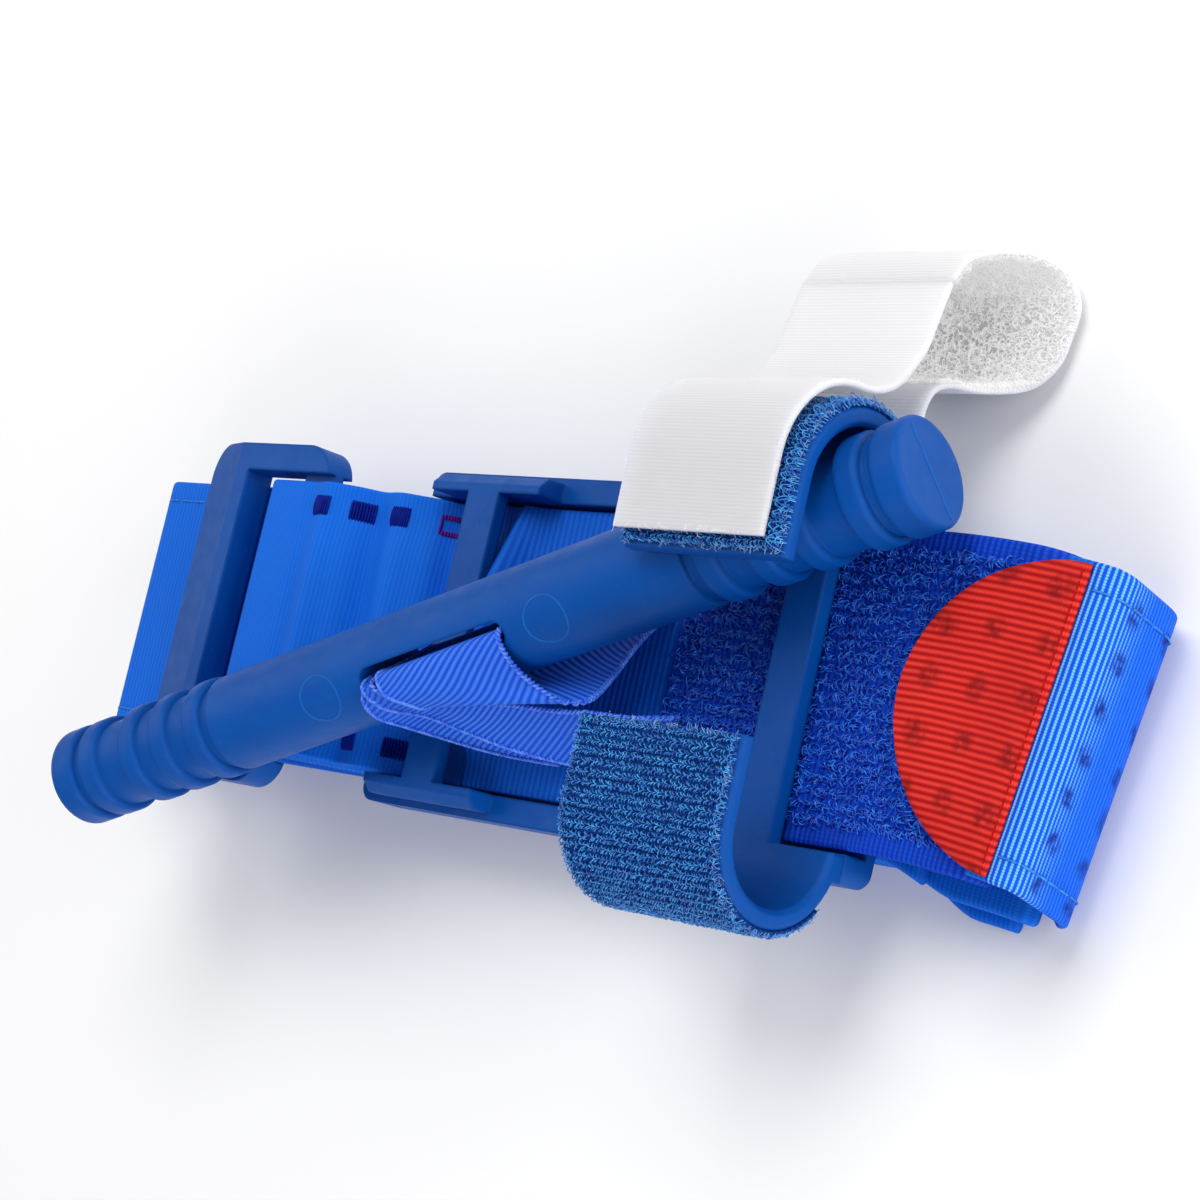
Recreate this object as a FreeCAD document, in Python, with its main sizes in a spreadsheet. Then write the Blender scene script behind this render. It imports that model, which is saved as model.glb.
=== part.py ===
import FreeCAD, Part
import Sketcher
import math
import os
import re
from FreeCAD import Placement, Rotation, Vector

# A windlass tourniquet folded for storage, lying on its back.
# +X runs along the band from the buckle to the pull tab, +Y across the band and
# +Z up, away from the limb. The origin is on the back face, under the windlass pivot.

os.makedirs("parts", exist_ok=True)
doc = FreeCAD.newDocument("Tourniquet")

# ---------------------------------------------------------------- driving dimensions
DIMENSIONS = {
    # webbing
    "BandWidth": 38.0,
    "LayerThick": 2.0,
    "LayerPitch": 2.1,
    "PlyThick": 0.9,
    "RibbonThick": 0.5,
    "RibbonWidth": 24.0,
    "PileThick": 1.6,
    # stabilization plate
    "PlateLeft": -27.0,
    "PlateRight": 58.5,
    "PlateBottom": 8.4,
    "PlateFloor": 10.0,
    "PlateHalf": 22.9,
    "PlateRound": 2.0,
    "ChannelHalf": 19.5,
    "RimTop": 13.7,
    "FlangeLeft": -22.4,
    "FlangeRight": -1.4,
    "FlangeTop": 17.9,
    "FlangeHalf": 22.0,
    "FlangeBevel": 1.4,
    "BridgeLeft": -15.0,
    "BridgeRight": -9.0,
    "BridgeThick": 2.0,
    # windlass clip
    "ClipMiddle": 45.8,
    "ClipLength": 25.4,
    "ClipFloor": 16.2,
    "ClipWall": 2.3,
    "HookInner": 8.05,
    "HookMiddle": 19.7,
    "ArmTip": 10.0,
    "BarWidth": 5.6,
    "ClipChamfer": 0.55,
    # hook tape and time strap
    "TapeThick": 0.9,
    "TapeInset": 0.3,
    "TapeWrap": 50.0,
    "StrapWidth": 25.0,
    "StrapThick": 1.2,
    "StrapEndThick": 0.8,
    "StrapLean": 0.72,
    # windlass rod
    "PivotY": -2.2,
    "PivotZ": 26.5,
    "RodTurn": 20.9,
    "RodTilt": 2.5,
    "RodRoll": 33.0,
    "RodLength": 143.9,
    "RodCore": 5.9,
    "RodBody": 6.5,
    "RodRing": 6.8,
    "RodBodyEnd": 31.6,
    "RingRound": 0.7,
    "SlotLength": 24.5,
    "SlotWidth": 3.2,
    # buckle
    "BuckleLeft": -71.5,
    "BuckleRight": -41.5,
    "BuckleHalf": 24.1,
    "BuckleBottom": 16.2,
    "BuckleTop": 20.8,
    "BuckleCorner": 5.0,
    "BuckleRidge": -62.2,
    "BuckleEdge": 18.0,
    "WindowLeft": -59.7,
    "WindowRight": -48.2,
    "WindowHalf": 20.2,
    "BarRecess": 1.6,
    # sewn detail
    "TackSize": 2.7,
    "TackThick": 0.3,
    "TackHalf": 15.6,
    "ThreadWide": 0.6,
    "ThreadThick": 0.25,
    "ThreadInset": 3.0,
    # tail
    "TailX": 87.6,
    "TailY": -3.5,
    "TailTop": 15.7,
    "TailThick": 1.3,
    "TailSkew": -4.0,
    "TailFold": 84.2,
    "FoldGap": 1.0,
    "TabStart": 81.2,
    "TabLength": 19.0,
    "TabThick": 0.7,
}

sheet = doc.addObject("Spreadsheet::Sheet", "Sizes")
for row, (alias, value) in enumerate(DIMENSIONS.items(), start=1):
    sheet.set(f"A{row}", alias)
    sheet.set(f"B{row}", str(value))
    sheet.setAlias(f"B{row}", alias)
doc.recompute()

# Where the folded layers run, as corner points in the XZ plane.
LAYER_ONE_Z = 7.3
RAMP_FOOT = -27.0
RAMP_TOP = -50.0
RAMP_RISE = 7.6
RAMP_STEP = -0.5
LEFT_FOLD = -84.4
LEFT_LOOP = -84.0
RIGHT_FOLD = 82.4
KNEE = 6.0


def size(alias):
    """A driving dimension, read back from the sheet."""
    return float(sheet.get(alias))


def formula(text):
    """Point every alias in a formula at the sheet. Aliases start with a capital."""
    return re.sub(r"\b[A-Z]\w+", r"Sizes.\g<0>", text)


def bind(thing, **properties):
    """Bind properties to sheet formulas; a double underscore stands for a dot."""
    for name, text in properties.items():
        thing.setExpression(name.replace("__", "."), formula(text))
    return thing


# ---------------------------------------------------------------- primitives
def block(name, low, span):
    """A box given by its low corner and its edge lengths."""
    box = doc.addObject("Part::Box", name)
    bind(box, Length=span[0], Width=span[1], Height=span[2])
    return bind(box, Placement__Base__x=low[0], Placement__Base__y=low[1], Placement__Base__z=low[2])


def cylinder_along_x(name, radius, length, start, across="0", up="0"):
    cylinder = doc.addObject("Part::Cylinder", name)
    cylinder.Placement = Placement(Vector(), Rotation(Vector(0, 1, 0), 90))
    bind(cylinder, Radius=radius, Height=length)
    return bind(cylinder, Placement__Base__x=start, Placement__Base__y=across, Placement__Base__z=up)


def fuse(name, pieces):
    joined = doc.addObject("Part::MultiFuse", name)
    joined.Shapes = pieces
    joined.Refine = True
    return joined


def cut(name, base, tool):
    left = doc.addObject("Part::Cut", name)
    left.Base = base
    left.Tool = tool
    left.Refine = True
    return left


def treat_edges(kind, name, base, amount, wanted):
    """Fillet or chamfer the edges of base that the test picks."""
    doc.recompute()
    numbers = [i for i, edge in enumerate(base.Shape.Edges, start=1) if wanted(edge)]
    treated = doc.addObject(kind, name)
    treated.Base = base
    treated.Edges = [(number, amount, amount) for number in numbers]
    return treated


# ---------------------------------------------------------------- PartDesign helpers
def outline(body, name, role, points, lift="0"):
    """A closed polygon on an origin plane, every corner tied to the sheet's sizes."""
    sketch = body.newObject("Sketcher::SketchObject", name)
    plane = next(feature for feature in body.Origin.OriginFeatures if feature.Role == role)
    sketch.AttachmentSupport = [(plane, "")]
    sketch.MapMode = "FlatFace"
    bind(sketch, AttachmentOffset__Base__z=lift)
    values = [[evaluate(text) for text in point] for point in points]
    for i, start in enumerate(values):
        end = values[(i + 1) % len(values)]
        sketch.addGeometry(Part.LineSegment(Vector(*start), Vector(*end)), False)
    for i in range(len(points)):
        sketch.addConstraint(Sketcher.Constraint("Coincident", i, 2, (i + 1) % len(points), 1))
    for i, point in enumerate(points):
        for kind, text, value in zip(("DistanceX", "DistanceY"), point, values[i]):
            number = sketch.addConstraint(Sketcher.Constraint(kind, -1, 1, i, 1, value))
            sketch.renameConstraint(number, f"{kind}{i}")
            sketch.setExpression(f"Constraints.{kind}{i}", formula(text))
    return sketch


def evaluate(text):
    """The value of a formula, from a scratch cell of the sheet."""
    sheet.set("D1", "=" + re.sub(r"\bSizes\.", "", text))
    sheet.recompute()
    return float(sheet.get("D1"))


def rectangle(body, name, left, right, bottom, top, lift="0"):
    """A rectangle on the XY plane."""
    corners = [(left, bottom), (right, bottom), (right, top), (left, top)]
    return outline(body, name, "XY_Plane", corners, lift)


def pad(body, name, sketch, length, midplane=False):
    feature = body.newObject("PartDesign::Pad", name)
    feature.Profile = sketch
    feature.Midplane = midplane
    bind(feature, Length=length)
    doc.recompute()
    return feature


def pocket_up(body, name, sketch, length):
    """Cut upward from the sketch, and check that the cut takes material away."""
    before = body.Shape.Volume
    feature = body.newObject("PartDesign::Pocket", name)
    feature.Profile = sketch
    feature.Reversed = True
    bind(feature, Length=length)
    doc.recompute()
    assert body.Shape.Volume < before - 1e-6, f"{name} cuts nothing"
    return feature


def dress(body, kind, name, amount, wanted):
    """A fillet or chamfer on the edges of the body's tip that the test picks."""
    tip = body.Tip
    numbers = [i for i, edge in enumerate(tip.Shape.Edges, start=1) if wanted(edge)]
    feature = body.newObject(kind, name)
    feature.Base = (tip, [f"Edge{number}" for number in numbers])
    prop = "Radius" if kind.endswith("Fillet") else "Size"
    bind(feature, **{prop: amount})
    doc.recompute()
    return feature


def is_upright(edge):
    return edge.BoundBox.XLength < 1e-6 and edge.BoundBox.YLength < 1e-6


# ---------------------------------------------------------------- bent strips
def unit(start, end):
    run = math.hypot(end[0] - start[0], end[1] - start[1])
    return ((end[0] - start[0]) / run, (end[1] - start[1]) / run)


def moved(point, direction, distance):
    return (point[0] + direction[0] * distance, point[1] + direction[1] * distance)


def strip_side(points, radii, offset):
    """The runs and arcs of a bent path, shifted a signed distance to its left."""
    directions = [unit(a, b) for a, b in zip(points, points[1:])]
    normals = [(-v, u) for u, v in directions]
    pieces = []
    here = moved(points[0], normals[0], offset)
    for corner, radius, (u0, v0), (u1, v1), before, after in zip(
            points[1:], radii, directions, directions[1:], normals, normals[1:]):
        turn = math.atan2(u0 * v1 - v0 * u1, u0 * u1 + v0 * v1)
        side = math.copysign(1.0, turn)
        reach = radius * math.tan(abs(turn) / 2)
        arc_start = moved(corner, (u0, v0), -reach)
        arc_end = moved(corner, (u1, v1), reach)
        centre = moved(arc_start, before, side * radius)
        outward = unit((0, 0), (before[0] + after[0], before[1] + after[1]))
        arc_middle = moved(centre, outward, offset - side * radius)
        pieces.append((here, moved(arc_start, before, offset)))
        pieces.append((moved(arc_start, before, offset), arc_middle, moved(arc_end, after, offset)))
        here = moved(arc_end, after, offset)
    pieces.append((here, moved(points[-1], normals[-1], offset)))
    return pieces


def strip_shape(plane, points, radii, thickness, start, width, centre=0.0):
    """A closed solid of one thickness along a path of straight runs and arcs.

    plane is "XZ" or "YZ"; start and width lie along the axis across the path.
    centre shifts the solid's middle off the path, to the path's left.
    """
    def place(point):
        return Vector(point[0], start, point[1]) if plane == "XZ" else Vector(start, *point)

    sides = [strip_side(points, radii, centre + sign * thickness / 2) for sign in (1, -1)]
    pieces = sides[0] + sides[1]
    pieces.append((sides[0][0][0], sides[1][0][0]))
    pieces.append((sides[0][-1][-1], sides[1][-1][-1]))
    edges = []
    for piece in pieces:
        corners = [place(point) for point in piece]
        if len(corners) == 3:
            edges.append(Part.Arc(*corners).toShape())
        elif corners[0].distanceToPoint(corners[1]) > 1e-6:
            edges.append(Part.makeLine(*corners))
    face = Part.Face(Part.Wire(Part.sortEdges(edges)[0]))
    return face.extrude(Vector(0, width, 0) if plane == "XZ" else Vector(width, 0, 0))


def soft(label, shape, placement=None):
    """A node for a soft piece, whose shape is worked out here from the sheet's sizes."""
    feature = doc.addObject("Part::Feature", label)
    feature.Shape = shape
    feature.Placement = placement or Placement()
    return feature


def band_shape(points, radii, thickness):
    """Full-width webbing whose path lies in the XZ plane."""
    width = size("BandWidth")
    return strip_shape("XZ", points, radii, thickness, -width / 2, width)


def thread_lines(points, radii, surface):
    """A line of stitching near each edge of the webbing, on the side of the path it faces."""
    wide = size("ThreadWide")
    centre = surface + math.copysign(size("ThreadThick") / 2, surface)
    inset = size("BandWidth") / 2 - size("ThreadInset")
    lines = [strip_shape("XZ", points, radii, size("ThreadThick"), y - wide / 2, wide, centre)
             for y in (-inset, inset)]
    return Part.makeCompound(lines)


# ---------------------------------------------------------------- stabilization plate
def make_plate():
    """A channel for the band, with raised flanges and a bridge that the sleeve runs under."""
    body = doc.addObject("PartDesign::Body", "stabilization_plate")
    base = rectangle(body, "PlateOutline", "PlateLeft", "PlateRight", "-PlateHalf", "PlateHalf",
                     "PlateBottom")
    pad(body, "PlatePad", base, "RimTop - PlateBottom")
    flange = rectangle(body, "FlangeOutline", "FlangeLeft", "FlangeRight", "-FlangeHalf",
                       "FlangeHalf", "RimTop")
    pad(body, "FlangePad", flange, "FlangeTop - RimTop")
    channels = (("Left", "PlateLeft - 1", "BridgeLeft", "FlangeTop + 1"),
                ("Right", "BridgeRight", "PlateRight + 1", "FlangeTop + 1"),
                ("Under", "BridgeLeft - 1", "BridgeRight + 1", "FlangeTop - BridgeThick"))
    for name, left, right, top in channels:
        channel = rectangle(body, "Channel" + name, left, right, "-ChannelHalf", "ChannelHalf",
                            "PlateFloor")
        pocket_up(body, "Pocket" + name, channel, f"{top} - PlateFloor")

    def flange_edge(edge):
        box = edge.BoundBox
        along_x = box.XLength > 5 and box.YLength < 1e-6 and box.ZLength < 1e-6
        return along_x and abs(box.ZMin - size("FlangeTop")) < 1e-6 \
            and abs(abs(box.YMin) - size("FlangeHalf")) < 1e-6

    dress(body, "PartDesign::Chamfer", "FlangeBevels", "FlangeBevel", flange_edge)

    def plan_corner(edge):
        return is_upright(edge) and abs(abs(edge.BoundBox.YMin) - size("PlateHalf")) < 1e-6

    dress(body, "PartDesign::Fillet", "PlateCorners", "PlateRound", plan_corner)


# ---------------------------------------------------------------- windlass clip
def make_clip():
    """Two facing hooks, joined by a bar that crosses over the band."""
    start = "ClipMiddle - ClipLength / 2"
    centre = "ClipFloor + HookInner"
    outer = cylinder_along_x("HookOuter", "HookInner + ClipWall", "ClipLength", start, "HookMiddle",
                             centre)
    inner = cylinder_along_x("HookHollow", "HookInner", "ClipLength + 2", start + " - 1",
                             "HookMiddle", centre)
    ring = cut("HookRing", outer, inner)
    side = block("HookSide", (start, "HookMiddle", "ClipFloor - ClipWall"),
                 ("ClipLength", "HookInner + ClipWall", "2 * (HookInner + ClipWall)"))
    half = doc.addObject("Part::Common", "HookHalf")
    half.Base = ring
    half.Tool = side
    arm = block("HookArm", (start, "ArmTip", "ClipFloor + 2 * HookInner"),
                ("ClipLength", "HookMiddle - ArmTip", "ClipWall"))
    foot = block("HookFoot", (start, "HookMiddle", "RimTop"),
                 ("ClipLength", "PlateHalf - HookMiddle", "ClipFloor - ClipWall / 2 - RimTop"))
    rear = fuse("RearHook", [half, arm, foot])
    front = doc.addObject("Part::Mirroring", "FrontHook")
    front.Source = rear
    front.Normal = Vector(0, 1, 0)
    bar = block("ClipBar", ("ClipMiddle - BarWidth / 2", "-HookMiddle", "ClipFloor - ClipWall"),
                ("BarWidth", "2 * HookMiddle", "ClipWall"))
    whole = fuse("ClipSolid", [rear, front, bar])
    relief = block("StrapRelief", (start + " - 1", "ChannelHalf", "RimTop - 1"),
                   ("ClipLength + 2", "ClipWall + 3", "TapeThick + 1"))
    relieved = cut("ClipRelieved", whole, relief)
    ends = [size("ClipMiddle") + sign * size("ClipLength") / 2 for sign in (-1, 1)]

    def hook_outline(edge):
        box = edge.BoundBox
        on_end = box.XLength < 1e-6 and min(abs(box.XMin - x) for x in ends) < 1e-6
        return on_end and edge.Length > 9 and box.ZMax > size("ClipFloor") + size("HookInner")

    return treat_edges("Part::Chamfer", "windlass_clip", relieved, size("ClipChamfer"), hook_outline)


# ---------------------------------------------------------------- hook tape and time strap
def hook_top(radius):
    return size("ClipFloor") + size("HookInner") + radius


def make_hook_tape(label, side, tip):
    """Hook tape on the outside of one hook, from near the arm's tip round the bend."""
    radius = size("HookInner") + size("ClipWall") + size("TapeThick") / 2
    middle = size("HookMiddle")
    wrap = math.radians(size("TapeWrap"))
    reach = radius * math.tan(wrap / 2)
    centre_z = hook_top(0)
    knee = (middle + radius, centre_z - reach)
    low = (middle + radius * math.cos(wrap), centre_z - radius * math.sin(wrap))
    end = (low[0] - 0.5 * math.sin(wrap), low[1] - 0.5 * math.cos(wrap))
    top = hook_top(radius)
    path = [(side * y, z) for y, z in ((tip, top), (middle + radius, top), knee, end)]
    width = size("ClipLength") - 2 * size("TapeInset")
    shape = strip_shape("YZ", path, [radius, radius], size("TapeThick"),
                        size("ClipMiddle") - width / 2, width)
    soft(label, shape)


# The time strap's path: over the rear hook to its crest, then out, down and back to
# its end, which is held between the clip's foot and the plate's rim.
STRAP_CREST = (49.0, 13.6)
STRAP_TIP_Y = 11.9
STRAP_LOOP = ((54.6, 11.6), (54.2, 1.3), (38.4, 1.3), (36.4, 14.15))
STRAP_END_Y = 20.2


def make_time_strap():
    width = size("StrapWidth")
    start = size("ClipMiddle") - width / 2
    thick = size("StrapThick")
    radius = size("HookInner") + size("ClipWall") + size("TapeThick") + 0.15 + thick / 2
    shoulder = size("HookMiddle") + radius
    path = [(STRAP_TIP_Y, hook_top(radius)), (shoulder, hook_top(radius)), (shoulder + 1.4, 20.0),
            STRAP_CREST]
    soft("time_strap_tip", strip_shape("YZ", path, [radius - 1.0, 5.0], thick, start, width))
    held_z = size("RimTop") + size("TapeThick") / 2
    loop_start = moved(STRAP_CREST, unit(STRAP_CREST, STRAP_LOOP[0]), size("FoldGap"))
    path = [loop_start, *STRAP_LOOP, (STRAP_END_Y, held_z)]
    loop = strip_shape("YZ", path, [2.0, 4.6, 3.5, 3.5], size("StrapEndThick"), start, width)
    lean = FreeCAD.Matrix()
    lean.A13 = -size("StrapLean")
    lean.A14 = size("StrapLean") * held_z
    soft("time_strap_anchor", loop.transformGeometry(lean))


# ---------------------------------------------------------------- windlass rod
# Distance from each end, and width, of the raised grip rings.
RINGS = ((0.0, 4.2), (5.6, 3.4), (13.9, 3.1), (20.2, 3.1), (26.9, 3.1))


def rod_rotation():
    """Turned in plan to the rear hook, tilted down to it, and rolled about its own axis."""
    turn = Rotation(Vector(0, 0, 1), size("RodTurn"))
    tilt = Rotation(Vector(0, 1, 0), size("RodTilt"))
    roll = Rotation(Vector(1, 0, 0), size("RodRoll"))
    return turn.multiply(tilt).multiply(roll)


def make_rod():
    """A moulded rod with ringed grips, and a slot through its middle for the ribbon."""
    pieces = [cylinder_along_x("RodCoreBar", "RodCore", "RodLength", "-RodLength / 2"),
              cylinder_along_x("RodMiddleBar", "RodBody", "RodLength - 2 * RodBodyEnd",
                               "-RodLength / 2 + RodBodyEnd")]
    for number, (distance, wide) in enumerate(RINGS, start=1):
        starts = (f"-RodLength / 2 + {distance}", f"RodLength / 2 - {distance} - {wide}")
        for side, start in zip(("Left", "Right"), starts):
            pieces.append(cylinder_along_x(f"Ring{side}{number}", "RodRing", f"{wide}", start))
    shaft = fuse("RodShaft", pieces)
    slot_run = "(SlotLength - SlotWidth)"
    cutters = [block("SlotBlock", (f"-{slot_run} / 2", "-SlotWidth / 2", "-RodRing - 1"),
                     (slot_run, "SlotWidth", "2 * RodRing + 2"))]
    for side, sign in (("Left", "-"), ("Right", "")):
        end = doc.addObject("Part::Cylinder", "SlotEnd" + side)
        bind(end, Radius="SlotWidth / 2", Height="2 * RodRing + 2")
        cutters.append(bind(end, Placement__Base__x=f"{sign}{slot_run} / 2",
                            Placement__Base__z="-RodRing - 1"))
    slotted = cut("RodSlotted", shaft, fuse("RodSlot", cutters))

    def ring_rim(edge):
        curve = edge.Curve
        return isinstance(curve, Part.Circle) and edge.BoundBox.XLength < 1e-6 \
            and abs(curve.Radius - size("RodRing")) < 1e-6

    rod = treat_edges("Part::Fillet", "windlass_rod", slotted, size("RingRound"), ring_rim)
    rod.Placement = Placement(Vector(), rod_rotation())
    bind(rod, Placement__Base__y="PivotY", Placement__Base__z="PivotZ")


# ---------------------------------------------------------------- buckle
def make_buckle():
    """A rounded frame: a wide ridged bar on the left and a thin bar inside the sleeve."""
    body = doc.addObject("PartDesign::Body", "buckle_frame")
    profile = [("BuckleLeft", "BuckleBottom"), ("BuckleRight", "BuckleBottom"),
               ("BuckleRight", "BuckleTop"), ("BuckleRidge", "BuckleTop"), ("BuckleLeft", "BuckleEdge")]
    section = outline(body, "BuckleSection", "XZ_Plane", profile)
    pad(body, "BucklePad", section, "2 * BuckleHalf", midplane=True)
    window = rectangle(body, "Window", "WindowLeft", "WindowRight", "-WindowHalf", "WindowHalf",
                       "BuckleBottom - 1")
    pocket_up(body, "WindowPocket", window, "BuckleTop - BuckleBottom + 2")
    recesses = (("Top", "BuckleTop - BarRecess"), ("Bottom", "BuckleBottom - 1"))
    for name, lift in recesses:
        recess = rectangle(body, "Recess" + name, "WindowRight - 1", "BuckleRight + 1", "-WindowHalf",
                           "WindowHalf", lift)
        pocket_up(body, "RecessPocket" + name, recess, "BarRecess + 1")
    reach = size("BuckleHalf")

    def corner(edge):
        box = edge.BoundBox
        return is_upright(edge) and abs(abs(box.YMin) - reach) < 1e-6 and box.ZLength > 1

    dress(body, "PartDesign::Fillet", "BuckleCorners", "BuckleCorner", corner)


# ---------------------------------------------------------------- sleeve around the buckle
# The upper ply of the sleeve, from its fold round the buckle's bar down to the plate.
SLEEVE_FOLD = -54.6
SLEEVE_UPPER = ((-40.6, 20.2), (-20.0, 12.6), (-9.3, 12.6))
SLEEVE_LOWER = ((-43.0, 16.7), (-23.0, 10.55), (-20.0, 10.55))
TACK_X = {"rear": (-42.4, -35.4, -29.4, -21.4), "front": (-36.2, -29.5, -22.7)}
TACK_GAP = 0.06


def make_buckle_sleeve():
    top = SLEEVE_UPPER[0][1]
    under = SLEEVE_LOWER[0][1]
    path = [*reversed(SLEEVE_LOWER), (SLEEVE_FOLD, under), (SLEEVE_FOLD, top), *SLEEVE_UPPER]
    bend = (top - under) / 2
    soft("buckle_sleeve", band_shape(path, [3.0, KNEE, bend, bend, KNEE, KNEE], size("PlyThick")))


def on_sleeve(x, gap):
    """A placement on the upper ply's outer face, above the given x."""
    corners = [(SLEEVE_FOLD, SLEEVE_UPPER[0][1]), *SLEEVE_UPPER]
    for start, end in zip(corners, corners[1:]):
        if x <= end[0]:
            break
    along = unit(start, end)
    z = start[1] + (x - start[0]) * along[1] / along[0]
    lift = size("PlyThick") / 2 + gap
    base = Vector(x - along[1] * lift, 0, z + along[0] * lift)
    return Placement(base, Rotation(Vector(0, 1, 0), -math.degrees(math.atan2(along[1], along[0]))))


def make_bartacks(label, y, positions):
    """Square bar tacks that close the sleeve's edge."""
    side = size("TackSize")
    tacks = []
    for x in positions:
        tack = Part.makeBox(side, side, size("TackThick"), Vector(-side / 2, y - side / 2, 0))
        tack.Placement = on_sleeve(x, TACK_GAP)
        tacks.append(tack)
    soft(label, Part.makeCompound(tacks))


# ---------------------------------------------------------------- sleeve and ribbon on the plate
# Flat pieces as (left end, right end, height over the plate's floor).
LINING = (-19.8, 24.8, 0.1)
RIBBON_END_LEFT = (-19.6, -8.6, 1.1)
RIBBON_END_RIGHT = (-4.6, 24.0, 1.1)
CLIP_SLEEVE = (-5.2, 24.8, 1.75)

# The risers' paths across the rod, as (across it, height over its axis), and where each
# one starts along it and how wide it is.
LEFT_RISER = [(-3.05, 4.7), (4.14, -6.38), (4.6, -12.7)]
LEFT_RISER_RUN = (-3.0, 14.6)
RIGHT_RISER = [(-4.1, 6.3), (-7.2, 8.4), (-9.5, -5.0), (-6.5, -12.6)]
RIGHT_RISER_RUN = (-8.6, 20.2)


def flat_piece(label, place, thickness, width):
    left, right, lift = place
    bottom = size("PlateFloor") + lift
    piece = Part.makeBox(right - left, width, thickness, Vector(left, -width / 2, bottom))
    soft(label, piece)


def make_plate_layers():
    """The flat plies and the ribbon ends that lie in the plate's channel."""
    ply = size("PlyThick")
    band = size("BandWidth")
    ribbon = (size("RibbonThick"), size("RibbonWidth"))
    flat_piece("sleeve_lining", LINING, ply, band)
    flat_piece("inner_ribbon_left", RIBBON_END_LEFT, *ribbon)
    flat_piece("inner_ribbon_right", RIBBON_END_RIGHT, *ribbon)
    flat_piece("clip_sleeve", CLIP_SLEEVE, ply, band)


def make_ribbon_risers():
    """The ribbon where it passes through the rod's slot and hangs down on both sides."""
    thick = size("RibbonThick")
    placement = Placement(Vector(0, size("PivotY"), size("PivotZ")),
                          Rotation(Vector(0, 0, 1), size("RodTurn")))
    left = strip_shape("YZ", LEFT_RISER, [1.5], thick, *LEFT_RISER_RUN)
    soft("ribbon_riser_left", left, placement)
    right = strip_shape("YZ", RIGHT_RISER, [2.0, 3.0], thick, *RIGHT_RISER_RUN)
    soft("ribbon_riser_right", right, placement)


# ---------------------------------------------------------------- folded band
def make_band_layers():
    """The long band, folded back and forth under the plate."""
    thick = size("LayerThick")
    pitch = size("LayerPitch")
    tight = pitch / 2
    first = LAYER_ONE_Z
    second = first - pitch
    third = second - pitch
    fourth = 1.0
    ramps = [(RAMP_FOOT + i * RAMP_STEP, RAMP_TOP + i * RAMP_STEP) for i in range(3)]
    upper = [(66.0, first), (ramps[0][0], first), (ramps[0][1], first + RAMP_RISE),
             (LEFT_FOLD, first + RAMP_RISE), (LEFT_FOLD, second + RAMP_RISE),
             (ramps[1][1], second + RAMP_RISE), (ramps[1][0], second), (70.0, second)]
    radii = [KNEE, KNEE, tight, tight, KNEE, KNEE]
    soft("band_layers_upper", band_shape(upper, radii, thick))
    stitched = [*upper[2:4], (LEFT_FOLD, first + RAMP_RISE - tight)]
    soft("band_edge_thread", thread_lines(stitched, [tight], -thick / 2))
    loop = (third + RAMP_RISE - fourth) / 2
    lower = [(70.0, second), (RIGHT_FOLD, second), (RIGHT_FOLD, third), (ramps[2][0], third),
             (ramps[2][1], third + RAMP_RISE), (LEFT_LOOP, third + RAMP_RISE), (LEFT_LOOP, fourth),
             (76.8, fourth)]
    soft("band_layers_lower", band_shape(lower, [tight, tight, KNEE, KNEE, loop, loop], thick))


def make_pile_band():
    """Loop-pile webbing under the clip's bar, which then folds down to the first layer."""
    near = size("PlateFloor") + 2.6
    far = 13.8
    bend = (far - LAYER_ONE_Z) / 2
    path = [(25.0, near), (51.0, near), (62.0, far), (77.5, far), (77.5, LAYER_ONE_Z),
            (66.0, LAYER_ONE_Z)]
    soft("pile_band", band_shape(path, [KNEE, KNEE, bend, bend], size("PileThick")))


# ---------------------------------------------------------------- tail
def tail_placement():
    """The tail is folded a little askew, about a point on its outer fold."""
    pivot = Vector(size("TailX"), size("TailY"), 0)
    return Placement(Vector(), Rotation(Vector(0, 0, 1), size("TailSkew")), pivot)


def make_tail():
    """The band's end turned up over the other layers, with a rounded pull tab."""
    thick = size("TailThick")
    top = size("TailTop")
    fold = size("TailFold")
    tab_x = size("TabStart")
    outer = size("TailX")
    turn = [(79.4, 1.0), (outer, 1.0), (outer, top), (fold, top)]
    radii = [5.0, 3.0]
    soft("tail_turn", band_shape(turn, radii, thick), tail_placement())
    gap = size("FoldGap")
    stitched = [*turn[:-1], (fold + gap / 4, top)]
    soft("tail_edge_thread", thread_lines(stitched, radii, -thick / 2), tail_placement())
    soft("tail_end", band_shape([(fold - gap, top), (tab_x, top)], [], thick), tail_placement())

    half = size("BandWidth") / 2
    low = top - thick / 2
    rim = Part.Ellipse(Vector(tab_x, 0, low), max(half, size("TabLength")), min(half, size("TabLength")))
    rim.XAxis = Vector(0, 1, 0)
    straight = Part.makeLine(Vector(tab_x, -half, low), Vector(tab_x, half, low))
    begin = rim.parameter(Vector(tab_x, half, low))
    curve = rim.toShape(begin, begin + math.pi)
    if curve.CenterOfMass.x > tab_x:
        curve = rim.toShape(begin + math.pi, begin + 2 * math.pi)
    tab = Part.Face(Part.Wire(Part.sortEdges([straight, curve])[0])).extrude(Vector(0, 0, size("TabThick")))
    soft("red_tab", tab, tail_placement())

    seam = Part.makeBox(size("ThreadWide"), 2 * half - 2, size("ThreadThick"),
                        Vector(tab_x + 0.6, 1 - half, top + thick / 2))
    soft("tab_seam_thread", seam, tail_placement())


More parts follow.
